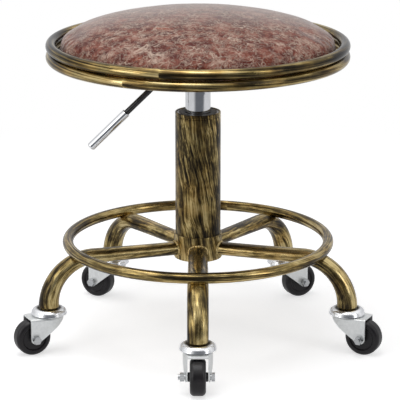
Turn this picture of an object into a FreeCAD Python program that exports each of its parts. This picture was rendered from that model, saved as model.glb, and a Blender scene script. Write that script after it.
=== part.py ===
import FreeCAD, Part
import math
import os

import Sketcher
from FreeCAD import Placement, Rotation, Vector

# A rolling salon stool: a round cushion in a double tube ring, on a gas lift that slides and turns in a
# bronze column, over five bent legs with a foot ring and five swivel casters.
# Millimetres, z up. The floor is z = 0 and the lift's axis is the z axis. The front leg points along -y.

DIMENSIONS = {
    # Column, hub and the lift's outer sleeve
    "column_d": 54.2,
    "column_wall": 2.0,
    "column_top": 281.0,
    "column_groove_drop": 4.5,
    "column_groove_r": 0.9,
    "column_groove_bend": 1.125,
    "edge_round": 0.8,
    "chamfer_size": 1.0,
    "cut_past": 10.0,
    "hub_d": 57.6,
    "hub_bottom": 101.5,
    "hub_height": 30.0,
    "sleeve_wall": 1.5,
    "sleeve_floor": 3.5,
    "sleeve_inset": 0.5,
    "sleeve_drop": 0.8,
    "sleeve_lip": 1.0,
    "bush_length": 57.0,
    "bush_drop": 0.4,
    "bush_lead": 1.6,
    # Piston rod, its thrust bearing and its clip
    "rod_d": 10.0,
    "rod_end": 98.4,
    "rod_chamfer": 0.6,
    "rod_hole_gap": 0.6,
    "rod_flange_d": 22.0,
    "rod_flange_height": 2.5,
    "race_d": 24.0,
    "race_height": 1.8,
    "race_groove": 0.5,
    "thrust_ball_d": 3.5,
    "thrust_ball_circle_d": 17.6,
    "head_bottom": 236.0,
    "head_height": 13.0,
    "head_gap": 0.3,
    "seal_step": 4.5,
    "seal_height": 4.0,
    "seal_groove": 1.8,
    "spigot_d": 6.0,
    "clip_step": 1.4,
    "clip_height": 1.2,
    "clip_groove": 1.0,
    "clip_width": 2.6,
    "clip_mouth": 5.6,
    # Pressure tube of the lift, which carries the seat
    "tube_d": 30.0,
    "tube_wall": 1.5,
    "tube_bottom": 158.0,
    "crimp_depth": 0.9,
    "crimp_height": 1.2,
    "taper_bottom": 304.0,
    "taper_top": 322.4,
    "taper_top_d": 28.6,
    "tube_top": 323.4,
    "valve_block_height": 14.0,
    "pin_d": 7.0,
    "pin_head_d": 12.0,
    "pin_head_height": 2.2,
    "pin_head_gap": 0.3,
    "pin_lever_gap": 0.3,
    "pin_dome_drop": 0.8,
    "guide_height": 16.4,
    "guide_lead": 1.5,
    "running_gap": 0.05,
    # Seat: socket, pan, spider, board, rings and cushion
    "socket_d": 38.0,
    "socket_bottom": 309.6,
    "socket_top": 321.4,
    "pan_bottom": 314.0,
    "pan_sheet": 2.5,
    "pan_floor_d": 76.0,
    "pan_mouth_d": 92.0,
    "pan_d": 150.0,
    "pan_corner": 5.0,
    "pan_corner_outer_r": 5.6,
    "pan_corner_inner_r": 3.4,
    "pan_lip_step": 2.0,
    "pan_lip_r": 2.6,
    "lever_slot_gap": 2.5,
    "lever_slot_start": 33.0,
    "lever_slot_end": 72.0,
    "lever_slot_top": 336.0,
    "spider_bottom": 345.0,
    "spider_sheet": 4.0,
    "spider_disc_d": 150.0,
    "arm_width": 30.0,
    "tab_sheet": 3.0,
    "tab_bend": 2.0,
    "tab_top": 366.0,
    "board_height": 12.0,
    "board_d": 321.0,
    "seat_ring_d": 346.6,
    "seat_tube_d": 12.4,
    "seat_ring_low": 349.0,
    "seat_ring_step": 12.9,
    "cushion_d": 327.0,
    "cushion_crown": 401.0,
    "cushion_cap_drop": 22.8,
    "cushion_roll": 11.3,
    "cushion_roll_r": 16.0,
    "cushion_side_high": 1.9,
    "cushion_side_r": 40.0,
    "cushion_side_low": 6.0,
    "cushion_draw_in": 1.4,
    "cushion_board_gap": 0.3,
    "cushion_hem": 350.5,
    "screw_d": 6.0,
    "screw_hole_gap": 0.3,
    "screw_hole_past": 1.0,
    "screw_head_d": 11.0,
    "screw_head_height": 3.4,
    "screw_head_flat_d": 6.6,
    "screw_head_edge": 0.9,
    "screw_head_r": 3.4,
    "screw_depth": 8.0,
    "pan_screw_circle_d": 122.0,
    "arm_screw_circle_d": 262.0,
    # Release lever
    "lever_height": 332.0,
    "lever_d": 7.0,
    "lever_tip": 6.0,
    "lever_pivot": 17.0,
    "lever_bend": 25.9,
    "lever_bend_r": 12.0,
    "lever_slope": 44.4,
    "lever_end_x": 128.5,
    "grip_d": 10.2,
    "grip_length": 61.0,
    "grip_stop": 3.0,
    "grip_round": 2.4,
    "grip_chamfer": 0.6,
    "lever_pin_d": 5.0,
    "lever_pin_past": 1.0,
    "lever_pin_head_d": 8.2,
    "lever_pin_head_height": 1.5,
    "lever_boss_d": 10.2,
    "lever_boss_width": 11.6,
    "bracket_sheet": 2.0,
    "bracket_gap": 12.6,
    "bracket_ear_r": 6.0,
    "bracket_flare": 3.0,
    # Five legs and the foot ring
    "leg_height": 113.5,
    "leg_circle_r": 186.5,
    "leg_bend_r": 56.5,
    "leg_root_width": 21.4,
    "leg_root_height": 16.0,
    "leg_knee_width": 24.4,
    "leg_knee_height": 17.6,
    "leg_tip_d": 24.5,
    "leg_wall": 1.6,
    "leg_tip": 56.5,
    "leg_tip_seam": 0.05,
    "foot_ring_d": 313.4,
    "foot_tube_d": 12.8,
    "foot_ring_height": 121.9,
    "ring_wall": 1.2,
    # Casters
    "ferrule_d": 20.4,
    "ferrule_spigot": 6.5,
    "ferrule_gap": 1.0,
    "stem_d": 9.2,
    "stem_length": 15.0,
    "kingpin_d": 8.0,
    "rivet_d": 13.0,
    "rivet_end_d": 10.4,
    "rivet_height": 1.7,
    "rivet_gap": 0.4,
    "cup_seat": 53.3,
    "cup_sheet": 1.5,
    "cup_d": 42.8,
    "cup_rim": 47.9,
    "cup_crest": 54.8,
    "cup_flare": 0.8,
    "cup_wall_step": 3.0,
    "cup_shoulder_outer_r": 5.6,
    "cup_shoulder_inner_r": 3.9,
    "cup_crest_width": 2.6,
    "cup_dish_gap": 2.2,
    "cup_dish_r": 4.0,
    "cup_dish_under": 0.4,
    "fork_top": 46.6,
    "fork_sheet": 1.8,
    "fork_round_r": 17.2,
    "fork_end_width": 27.2,
    "fork_mouth_width": 23.0,
    "fork_mouth_past": 2.0,
    "fork_boss_r": 5.8,
    "fork_rim": 3.4,
    "fork_rim_run": 2.0,
    "fork_lead_angle": 222.0,
    "fork_bend_r": 3.0,
    "fork_bend_inner_r": 1.2,
    "dish_d": 33.0,
    "dish_height": 1.9,
    "dish_round": 1.0,
    "dish_root": 1.5,
    "caster_ball_d": 4.0,
    "caster_ball_circle_d": 26.0,
    "caster_ball_height": 49.7,
    "trail": 22.0,
    "wheel_d": 43.0,
    "wheel_width": 18.4,
    "wheel_boss_width": 23.4,
    "wheel_boss_d": 10.4,
    "wheel_boss_taper": 0.6,
    "wheel_web_inset": 1.6,
    "wheel_rim_width": 6.4,
    "wheel_rim_slope": 1.2,
    "wheel_shoulder_r": 5.2,
    "axle_d": 6.0,
    "axle_head_flats": 9.0,
    "axle_head_height": 4.0,
    "axle_nut_height": 5.0,
    "axle_half_grip": 15.3,
    "axle_end": 22.6,
}

# Where each leg points, and where its caster trails at rest, in degrees about z
LEG_ANGLES = (-90.0, -18.0, 54.0, 126.0, 198.0)
TRAIL_ANGLES = (-90.0, -25.0, 28.0, 152.0, 205.0)

doc = FreeCAD.newDocument("RollingStool")
sheet = doc.addObject("Spreadsheet::Sheet", "Dims")
for row, (alias, value) in enumerate(DIMENSIONS.items(), start=1):
    sheet.set(f"A{row}", alias)
    sheet.set(f"B{row}", str(value))
    sheet.setAlias(f"B{row}", alias)
doc.recompute()

nodes = {}


class Length:
    """A size in millimetres with the formula that works it out from the sheet's cells."""

    def __init__(self, value, formula):
        self.value = float(value)
        self.formula = formula

    def join(self, other, sign, value):
        return Length(value, f"({self.formula} {sign} {length(other).formula})")

    def __add__(self, other):
        return self.join(other, "+", self.value + length(other).value)

    def __sub__(self, other):
        return self.join(other, "-", self.value - length(other).value)

    def __mul__(self, other):
        return self.join(other, "*", self.value * length(other).value)

    def __truediv__(self, other):
        return self.join(other, "/", self.value / length(other).value)

    def __neg__(self):
        return length(0) - self

    def root(self):
        return Length(math.sqrt(self.value), f"sqrt({self.formula})")


def length(size):
    if isinstance(size, Length):
        return size
    return Length(size, repr(float(size)))


def dim(alias):
    return Length(sheet.get(alias), f"Dims.{alias}")


def keep(label, piece, placement=None):
    """Name a finished sub-part and set it in its place."""
    piece.Label = label
    if placement is not None:
        piece.Placement = placement
    nodes[label] = piece
    return piece


# Sketches: every corner is held by two distances from the sketch's origin, and every arc by its radius


def new_body(name):
    return doc.addObject("PartDesign::Body", name)


def sketch_on(body, role, offset=0.0):
    plane = next(part for part in body.Origin.OriginFeatures if part.Role == role)
    sketch = body.newObject("Sketcher::SketchObject", body.Name + "_sketch")
    sketch.AttachmentSupport = [(plane, "")]
    sketch.MapMode = "FlatFace"
    offset = length(offset)
    sketch.AttachmentOffset = Placement(Vector(0, 0, offset.value), Rotation())
    sketch.setExpression("AttachmentOffset.Base.z", offset.formula)
    return sketch


def drive(sketch, size, *constraint):
    size = length(size)
    index = sketch.addConstraint(Sketcher.Constraint(*constraint, size.value))
    sketch.setExpression(f"Constraints[{index}]", size.formula)


def pin_point(sketch, geometry, position, x, y):
    drive(sketch, x, "DistanceX", -1, 1, geometry, position)
    drive(sketch, y, "DistanceY", -1, 1, geometry, position)


def arc_through(start, end, radius, turn):
    """Arc from start to end that turns left (1) or right (-1), shorter than a half circle."""
    chord = end - start
    middle = start + chord * 0.5
    rise = math.sqrt(max(radius**2 - (chord.Length / 2) ** 2, 0.0))
    centre = middle + Vector(-chord.y, chord.x, 0).normalize() * (rise * turn)
    first, last = (start, end) if turn > 0 else (end, start)
    angles = [math.atan2(point.y - centre.y, point.x - centre.x) for point in (first, last)]
    if angles[1] < angles[0]:
        angles[1] += 2 * math.pi
    return Part.ArcOfCircle(Part.Circle(centre, Vector(0, 0, 1), radius), *angles)


def draw(sketch, *corners, closed=True):
    """Outline through corners (x, y). A corner (x, y, radius, turn) is reached by an arc."""
    spots = [Vector(length(corner[0]).value, length(corner[1]).value, 0) for corner in corners]
    steps = list(range(1, len(corners)))
    if closed:
        steps.append(0)
    ends = []
    for step in steps:
        start, end = spots[step - 1], spots[step]
        corner = corners[step]
        if len(corner) == 2:
            index = sketch.addGeometry(Part.LineSegment(start, end))
            ends.append((index, 1, 2))
        else:
            radius, turn = corner[2:]
            index = sketch.addGeometry(arc_through(start, end, length(radius).value, turn))
            drive(sketch, radius, "Radius", index)
            ends.append((index, 1, 2) if turn > 0 else (index, 2, 1))
    for before, after in zip(ends, ends[1:]):
        sketch.addConstraint(Sketcher.Constraint("Coincident", before[0], before[2], after[0], after[1]))
    if closed:
        last, first = ends[-1], ends[0]
        sketch.addConstraint(Sketcher.Constraint("Coincident", last[0], last[2], first[0], first[1]))
    for step, (index, first, last) in zip(steps, ends):
        pin_point(sketch, index, last, *corners[step][:2])
    if not closed:
        pin_point(sketch, ends[0][0], ends[0][1], *corners[0][:2])
    return ends


def draw_circle(sketch, x, y, radius):
    centre = Vector(length(x).value, length(y).value, 0)
    index = sketch.addGeometry(Part.Circle(centre, Vector(0, 0, 1), length(radius).value))
    pin_point(sketch, index, 3, x, y)
    drive(sketch, radius, "Radius", index)
    return index


def draw_ellipse(sketch, x, y, across, along):
    """Ellipse with half-widths across (sketch x) and along (sketch y), its seam at its longer end."""
    centre = Vector(length(x).value, length(y).value, 0)
    ends = [Vector(length(across).value, 0, 0), Vector(0, length(along).value, 0)]
    major, minor = sorted(ends, key=lambda end: -end.Length)
    index = sketch.addGeometry(Part.Ellipse(centre + major, centre + minor, centre))
    sketch.exposeInternalGeometry(index)
    pin_point(sketch, index, 3, x, y)
    level = major.y == 0
    sketch.addConstraint(Sketcher.Constraint("Horizontal" if level else "Vertical", index + 1))
    drive(sketch, length(across if level else along) * 2, "Distance", index + 1)
    drive(sketch, length(along if level else across) * 2, "Distance", index + 2)


# Features


def feature(body, kind, sketch, **settings):
    made = body.newObject("PartDesign::" + kind, body.Name + "_" + kind)
    made.Profile = sketch
    for name, setting in settings.items():
        if isinstance(setting, Length):
            made.setExpression(name, setting.formula)
        else:
            setattr(made, name, setting)
    return made


def revolve(body, sketch, kind="Revolution", axis="V_Axis"):
    return feature(body, kind, sketch, ReferenceAxis=(sketch, [axis]), Angle=360.0)


def bend_edges(body, base, height, end_x, radius):
    """Round the edges of the base that lie level at this height, all but those across its open end."""
    doc.recompute()

    def is_bend(edge):
        level = all(abs(point.Z - height.value) < 1e-6 for point in edge.Vertexes)
        return level and not all(abs(point.X - end_x.value) < 1e-6 for point in edge.Vertexes)

    fillet = body.newObject("PartDesign::Fillet", body.Name + "_bend")
    bends = [f"Edge{number}" for number, edge in enumerate(base.Shape.Edges, 1) if is_bend(edge)]
    fillet.Base = (base, bends)
    fillet.setExpression("Radius", radius.formula)


def turned(name, *corners):
    """Body turned about z from an outline of (radius, height) corners."""
    body = new_body(name)
    sketch = sketch_on(body, "XZ_Plane")
    draw(sketch, *corners)
    revolve(body, sketch)
    return body


def cap_bend(reach, drop):
    """Radius of the ball whose cap is that wide from its middle and falls by that much."""
    return (reach * reach + drop * drop) / (drop * 2)


def ring_tube(label, circle_d, tube_d, height):
    """Closed ring of round tube, hollow inside its wall."""
    body = new_body(label)
    sketch = sketch_on(body, "XZ_Plane")
    draw_circle(sketch, circle_d / 2, height, tube_d / 2)
    draw_circle(sketch, circle_d / 2, height, tube_d / 2 - dim("ring_wall"))
    revolve(body, sketch)
    return keep(label, body)


def drilled(body, circle_d, radius, start_angle, count=4):
    """Holes through the body along z, spread evenly on a circle."""
    sketch = sketch_on(body, "XY_Plane")
    x = circle_d / 2 * math.cos(math.radians(start_angle))
    y = circle_d / 2 * math.sin(math.radians(start_angle))
    draw_circle(sketch, x, y, radius)
    hole = feature(body, "Pocket", sketch, Type="ThroughAll", SideType="Symmetric")
    pattern = body.newObject("PartDesign::PolarPattern", body.Name + "_holes")
    pattern.Originals = [hole]
    pattern.Axis = (sketch, ["N_Axis"])
    pattern.Angle = 360.0
    pattern.Occurrences = count
    body.Tip = pattern
    return pattern


def group(label, pieces):
    """Several separate solids kept as one sub-part."""
    compound = doc.addObject("Part::Compound", label)
    compound.Links = pieces
    return keep(label, compound)


def ball_ring(label, count, ball_d, circle_d, height, placement=None):
    balls = []
    for index in range(count):
        ball = doc.addObject("Part::Sphere", f"{label}_ball_{index}")
        ball.setExpression("Radius", (ball_d / 2).formula)
        turn = 2 * math.pi * index / count
        ball.setExpression("Placement.Base.x", (circle_d / 2 * math.cos(turn)).formula)
        ball.setExpression("Placement.Base.y", (circle_d / 2 * math.sin(turn)).formula)
        ball.setExpression("Placement.Base.z", height.formula)
        balls.append(ball)
    ring = group(label, balls)
    if placement is not None:
        ring.Placement = placement
    return ring


# Column and hub: the column stands in the hub sleeve, to which the legs are welded

column_r = dim("column_d") / 2
column_bore = column_r - dim("column_wall")
column_top = dim("column_top")
hub_bottom = dim("hub_bottom")
hub_top = hub_bottom + dim("hub_height")
hub_r = dim("hub_d") / 2
groove_r = dim("column_groove_r")
groove_height = column_top - dim("column_groove_drop")
edge_round = dim("edge_round")
chamfer = dim("chamfer_size")
cut_past = dim("cut_past")


def make_column():
    column = turned(
        "column_tube",
        (column_bore, hub_bottom),
        (column_r, hub_bottom),
        (column_r, groove_height - groove_r),
        (column_r, groove_height + groove_r, dim("column_groove_bend"), -1),
        (column_r, column_top - edge_round),
        (column_r - edge_round, column_top, edge_round, 1),
        (column_bore, column_top),
    )
    keep("column_tube", column)
    hub = turned(
        "hub_sleeve",
        (column_r, hub_bottom),
        (hub_r - edge_round, hub_bottom),
        (hub_r, hub_bottom + edge_round, edge_round, 1),
        (hub_r, hub_top - edge_round),
        (hub_r - edge_round, hub_top, edge_round, 1),
        (column_r, hub_top),
    )
    keep("hub_sleeve", hub)


# Gas lift: outer sleeve with a guide bush, a rod on a thrust bearing, and a pressure tube that slides on it

sleeve_bore = column_bore - dim("sleeve_wall")
sleeve_bottom = hub_bottom + dim("sleeve_inset")
race_bottom = sleeve_bottom + dim("sleeve_floor")
race_top = race_bottom + dim("race_height")
lip_bore = sleeve_bore - dim("sleeve_lip")
sleeve_top = column_top - dim("sleeve_drop")
lip_bottom = sleeve_top - dim("sleeve_wall")
rod_r = dim("rod_d") / 2
rod_hole_r = rod_r + dim("rod_hole_gap")
race_r = dim("race_d") / 2
thrust_r = dim("thrust_ball_d") / 2
thrust_circle_r = dim("thrust_ball_circle_d") / 2
gap = dim("running_gap")
# The balls stand out of each race by this much, measured from the race's face to their centres
thrust_rise = thrust_r - dim("race_groove")
thrust_groove_r = thrust_r + gap
thrust_groove_half = (thrust_groove_r * thrust_groove_r - thrust_rise * thrust_rise).root()
thrust_height = race_top + thrust_rise
upper_race_bottom = thrust_height + thrust_rise
upper_race_top = upper_race_bottom + dim("race_height")
tube_r = dim("tube_d") / 2
tube_bore = tube_r - dim("tube_wall")
tube_bottom = dim("tube_bottom")
tube_top = dim("tube_top")
pin_r = dim("pin_d") / 2


def make_lift_sleeve():
    sleeve = turned(
        "lift_sleeve",
        (rod_hole_r, sleeve_bottom),
        (column_bore, sleeve_bottom),
        (column_bore, sleeve_top),
        (lip_bore, sleeve_top),
        (lip_bore, lip_bottom),
        (sleeve_bore, lip_bottom),
        (sleeve_bore, race_bottom),
        (rod_hole_r, race_bottom),
    )
    keep("lift_sleeve", sleeve)
    bush_bore = tube_r + gap
    bush_lead = dim("bush_lead")
    bush_top = column_top - dim("bush_drop")
    bush = turned(
        "guide_bush",
        (bush_bore, column_top - dim("bush_length")),
        (sleeve_bore, column_top - dim("bush_length")),
        (sleeve_bore, lip_bottom),
        (lip_bore, lip_bottom),
        (lip_bore, bush_top),
        (bush_bore + bush_lead, bush_top),
        (bush_bore, bush_top - bush_lead),
    )
    keep("guide_bush", bush)


def make_thrust_bearing():
    lower = turned(
        "bearing_lower_race",
        (rod_hole_r, race_bottom),
        (race_r, race_bottom),
        (race_r, race_top),
        (thrust_circle_r + thrust_groove_half, race_top),
        (thrust_circle_r - thrust_groove_half, race_top, thrust_groove_r, -1),
        (rod_hole_r, race_top),
    )
    keep("bearing_lower_race", lower)
    upper = turned(
        "bearing_upper_race",
        (rod_r, upper_race_bottom),
        (thrust_circle_r - thrust_groove_half, upper_race_bottom),
        (thrust_circle_r + thrust_groove_half, upper_race_bottom, thrust_groove_r, -1),
        (race_r, upper_race_bottom),
        (race_r, upper_race_top),
        (rod_r, upper_race_top),
    )
    keep("bearing_upper_race", upper)
    ball_ring("bearing_balls", 9, dim("thrust_ball_d"), dim("thrust_ball_circle_d"), thrust_height)


def make_rod():
    flange_r = dim("rod_flange_d") / 2
    flange_top = upper_race_top + dim("rod_flange_height")
    head_bottom = dim("head_bottom")
    head_top = head_bottom + dim("head_height")
    spigot_r = dim("spigot_d") / 2
    rod_end = dim("rod_end")
    rod_chamfer = dim("rod_chamfer")
    clip_bottom = rod_end + dim("clip_step")
    clip_top = clip_bottom + dim("clip_height")
    clip_r = rod_r - dim("clip_groove")
    rod = turned(
        "piston_rod",
        (0, rod_end),
        (rod_r - rod_chamfer, rod_end),
        (rod_r, rod_end + rod_chamfer),
        (rod_r, clip_bottom),
        (clip_r, clip_bottom),
        (clip_r, clip_top),
        (rod_r, clip_top),
        (rod_r, upper_race_top),
        (flange_r, upper_race_top),
        (flange_r, flange_top),
        (rod_r, flange_top),
        (rod_r, head_bottom),
        (spigot_r, head_bottom),
        (spigot_r, head_top),
        (0, head_top),
    )
    keep("piston_rod", rod)
    head_r = tube_bore - dim("head_gap")
    seal_r = head_r - dim("seal_groove")
    seal_bottom = head_bottom + dim("seal_step")
    seal_top = seal_bottom + dim("seal_height")
    head = turned(
        "piston_head",
        (spigot_r, head_bottom),
        (head_r - chamfer, head_bottom),
        (head_r, head_bottom + chamfer),
        (head_r, seal_bottom),
        (seal_r, seal_bottom),
        (seal_r, seal_top),
        (head_r, seal_top),
        (head_r, head_top - chamfer),
        (head_r - chamfer, head_top),
        (spigot_r, head_top),
    )
    keep("piston_head", head)
    clip = new_body("rod_clip")
    face = sketch_on(clip, "XY_Plane", clip_bottom)
    draw_circle(face, 0, 0, rod_r + dim("clip_width"))
    draw_circle(face, 0, 0, clip_r)
    feature(clip, "Pad", face, Length=clip_top - clip_bottom)
    mouth = sketch_on(clip, "XY_Plane")
    mouth_half = dim("clip_mouth") / 2
    beyond = rod_r + cut_past
    draw(mouth, (0, -mouth_half), (beyond, -mouth_half), (beyond, mouth_half), (0, mouth_half))
    feature(clip, "Pocket", mouth, Type="ThroughAll", SideType="Symmetric")
    keep("rod_clip", clip)


def make_pressure_tube():
    crimp_bore = tube_bore - dim("crimp_depth")
    crimp_top = tube_bottom + dim("crimp_height")
    valve_bottom = tube_top - dim("valve_block_height")
    valve_bore = pin_r + gap
    tube = turned(
        "gas_tube",
        (crimp_bore, tube_bottom),
        (tube_r - edge_round, tube_bottom),
        (tube_r, tube_bottom + edge_round, edge_round, 1),
        (tube_r, dim("taper_bottom")),
        (dim("taper_top_d") / 2, dim("taper_top")),
        (dim("taper_top_d") / 2 - chamfer, tube_top),
        (valve_bore, tube_top),
        (valve_bore, valve_bottom),
        (tube_bore, valve_bottom),
        (tube_bore, crimp_top),
        (crimp_bore, crimp_top),
    )
    keep("gas_tube", tube)
    guide_bore = rod_r + gap
    guide_top = crimp_top + dim("guide_height")
    guide_lead = dim("guide_lead")
    guide = turned(
        "rod_seal_guide",
        (guide_bore, crimp_top),
        (tube_bore, crimp_top),
        (tube_bore, guide_top - guide_lead),
        (tube_bore - guide_lead, guide_top),
        (guide_bore + guide_lead, guide_top),
        (guide_bore, guide_top - guide_lead),
    )
    keep("rod_seal_guide", guide)
    pin_head_r = dim("pin_head_d") / 2
    pin_head_top = valve_bottom - dim("pin_head_gap")
    pin_head_bottom = pin_head_top - dim("pin_head_height")
    pin_top = dim("lever_height") - dim("lever_d") / 2 - dim("pin_lever_gap")
    pin_dome = dim("pin_dome_drop")
    pin = turned(
        "release_pin",
        (0, pin_head_bottom),
        (pin_head_r, pin_head_bottom),
        (pin_head_r, pin_head_top),
        (pin_r, pin_head_top),
        (pin_r, pin_top - pin_dome),
        (0, pin_top, cap_bend(pin_r, pin_dome), 1),
    )
    keep("release_pin", pin)


# Seat: taper socket in a pressed pan, a four-armed spider that holds the rings, a board and the cushion

spider_bottom = dim("spider_bottom")
spider_top = spider_bottom + dim("spider_sheet")
board_top = spider_top + dim("board_height")
ring_r = dim("seat_ring_d") / 2
tab_r = ring_r - dim("seat_tube_d") / 2
screw_hole_r = dim("screw_d") / 2 + dim("screw_hole_gap")
arm_angle = 45.0


def make_socket_and_pan():
    slope = (tube_r - dim("taper_top_d") / 2) / (dim("taper_top") - dim("taper_bottom"))
    socket_bottom = dim("socket_bottom")
    socket_top = dim("socket_top")
    socket_r = dim("socket_d") / 2
    socket = turned(
        "taper_socket",
        (tube_r - slope * (socket_bottom - dim("taper_bottom")), socket_bottom),
        (socket_r - chamfer, socket_bottom),
        (socket_r, socket_bottom + chamfer),
        (socket_r, socket_top),
        (tube_r - slope * (socket_top - dim("taper_bottom")), socket_top),
    )
    keep("taper_socket", socket)
    pan_sheet = dim("pan_sheet")
    pan_bottom = dim("pan_bottom")
    floor_r = dim("pan_floor_d") / 2
    mouth_r = dim("pan_mouth_d") / 2
    pan_r = dim("pan_d") / 2
    corner = dim("pan_corner")
    pan = turned(
        "mount_pan",
        (socket_r, pan_bottom),
        (floor_r - corner, pan_bottom),
        (floor_r, pan_bottom + corner, dim("pan_corner_outer_r"), 1),
        (mouth_r - pan_sheet, spider_bottom - pan_sheet - dim("pan_lip_step")),
        (mouth_r, spider_bottom - pan_sheet, dim("pan_lip_r"), -1),
        (pan_r, spider_bottom - pan_sheet),
        (pan_r, spider_bottom),
        (mouth_r - pan_sheet * 1.6, spider_bottom),
        (mouth_r - pan_sheet * 2.1, spider_bottom - pan_sheet),
        (floor_r - pan_sheet, pan_bottom + corner),
        (floor_r - corner, pan_bottom + pan_sheet, dim("pan_corner_inner_r"), -1),
        (socket_r, pan_bottom + pan_sheet),
    )
    slot_low = pan_bottom - cut_past
    slot = sketch_on(pan, "XY_Plane", slot_low)
    slot_half = dim("lever_d") / 2 + dim("lever_slot_gap")
    slot_start = -dim("lever_slot_start")
    slot_end = -dim("lever_slot_end")
    draw(
        slot,
        (slot_end, -slot_half),
        (slot_start, -slot_half),
        (slot_start, slot_half),
        (slot_end, slot_half),
    )
    feature(pan, "Pocket", slot, Reversed=True, Length=dim("lever_slot_top") - slot_low)
    drilled(pan, dim("pan_screw_circle_d"), screw_hole_r, arm_angle)
    keep("mount_pan", pan)


def make_spider():
    """Dished disc with a rim, cut away between four arms so that each arm ends in an upright tab."""
    spider = turned(
        "seat_spider",
        (0, spider_bottom),
        (tab_r - dim("tab_bend"), spider_bottom),
        (tab_r, spider_bottom + dim("tab_bend"), dim("tab_bend"), 1),
        (tab_r, dim("tab_top")),
        (tab_r - dim("tab_sheet"), dim("tab_top")),
        (tab_r - dim("tab_sheet"), spider_top),
        (0, spider_top),
    )
    disc_r = dim("spider_disc_d") / 2
    half = dim("arm_width") / 2
    corner = (disc_r * disc_r - half * half).root()
    beyond = tab_r + cut_past
    window = sketch_on(spider, "XY_Plane")
    draw(
        window,
        (corner, half, disc_r, -1),
        (beyond, half),
        (beyond, beyond),
        (half, beyond),
        (half, corner),
    )
    cut = feature(spider, "Pocket", window, Type="ThroughAll", SideType="Symmetric")
    pattern = spider.newObject("PartDesign::PolarPattern", "seat_spider_windows")
    pattern.Originals = [cut]
    pattern.Axis = (window, ["N_Axis"])
    pattern.Angle = 360.0
    pattern.Occurrences = 4
    spider.Tip = pattern
    doc.recompute()
    drilled(spider, dim("pan_screw_circle_d"), screw_hole_r, 0.0)
    drilled(spider, dim("arm_screw_circle_d"), screw_hole_r, 0.0)
    keep("seat_spider", spider, Placement(Vector(), Rotation(Vector(0, 0, 1), arm_angle)))


def make_board():
    board_r = dim("board_d") / 2
    board = turned(
        "seat_board",
        (0, spider_top),
        (board_r - chamfer, spider_top),
        (board_r, spider_top + chamfer),
        (board_r, board_top),
        (0, board_top),
    )
    for circle in ("pan_screw_circle_d", "arm_screw_circle_d"):
        face = sketch_on(board, "XY_Plane", spider_top)
        spread = dim(circle) / 2 * math.cos(math.radians(arm_angle))
        for x, y in ((spread, spread), (-spread, spread), (-spread, -spread), (spread, -spread)):
            draw_circle(face, x, y, dim("screw_d") / 2)
        feature(board, "Pocket", face, Reversed=True, Length=dim("screw_depth") + dim("screw_hole_past"))
    keep("seat_board", board)


def make_screws():
    """Round-headed screws: four hold the pan, and four the ends of the arms."""
    screws = []
    seats = (("pan_screw_circle_d", spider_bottom - dim("pan_sheet")), ("arm_screw_circle_d", spider_bottom))
    for circle, head_top in seats:
        for turn in range(4):
            shank_r = dim("screw_d") / 2
            head_r = dim("screw_head_d") / 2
            head_bottom = head_top - dim("screw_head_height")
            screw = turned(
                f"seat_screw_{len(screws)}",
                (0, head_bottom),
                (dim("screw_head_flat_d") / 2, head_bottom),
                (head_r, head_top - dim("screw_head_edge"), dim("screw_head_r"), 1),
                (head_r, head_top),
                (shank_r, head_top),
                (shank_r, spider_top + dim("screw_depth")),
                (0, spider_top + dim("screw_depth")),
            )
            angle = math.radians(arm_angle + 90.0 * turn)
            reach = dim(circle).value / 2
            spot = Vector(reach * math.cos(angle), reach * math.sin(angle), 0)
            screw.Placement = Placement(spot, Rotation())
            screws.append(screw)
    group("seat_screws", screws)


def make_seat_rings():
    low = dim("seat_ring_low")
    ring_tube("lower_seat_ring", dim("seat_ring_d"), dim("seat_tube_d"), low)
    ring_tube("upper_seat_ring", dim("seat_ring_d"), dim("seat_tube_d"), low + dim("seat_ring_step"))


def make_cushion():
    """Padded cover: a crown like the cap of a ball, a rolled edge, and sides drawn in round the board."""
    side_r = dim("cushion_d") / 2
    inner_r = dim("board_d") / 2 + dim("cushion_board_gap")
    hem = dim("cushion_hem")
    waist_r = side_r - dim("cushion_draw_in")
    crown = dim("cushion_crown")
    cap_r = side_r - dim("cushion_roll")
    cap_drop = dim("cushion_cap_drop")
    cushion = turned(
        "seat_cushion",
        (0, board_top),
        (inner_r, board_top),
        (inner_r, hem),
        (waist_r, hem),
        (waist_r, board_top - dim("cushion_side_low")),
        (side_r, board_top + dim("cushion_side_high"), dim("cushion_side_r"), 1),
        (cap_r, crown - cap_drop, dim("cushion_roll_r"), 1),
        (0, crown, cap_bend(cap_r, cap_drop), 1),
    )
    keep("seat_cushion", cushion)


# Release lever: a bent rod on a pin under the spider, whose short end lies over the valve's pin

lever_height = dim("lever_height")
lever_r = dim("lever_d") / 2
pivot_x = -dim("lever_pivot")


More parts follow.
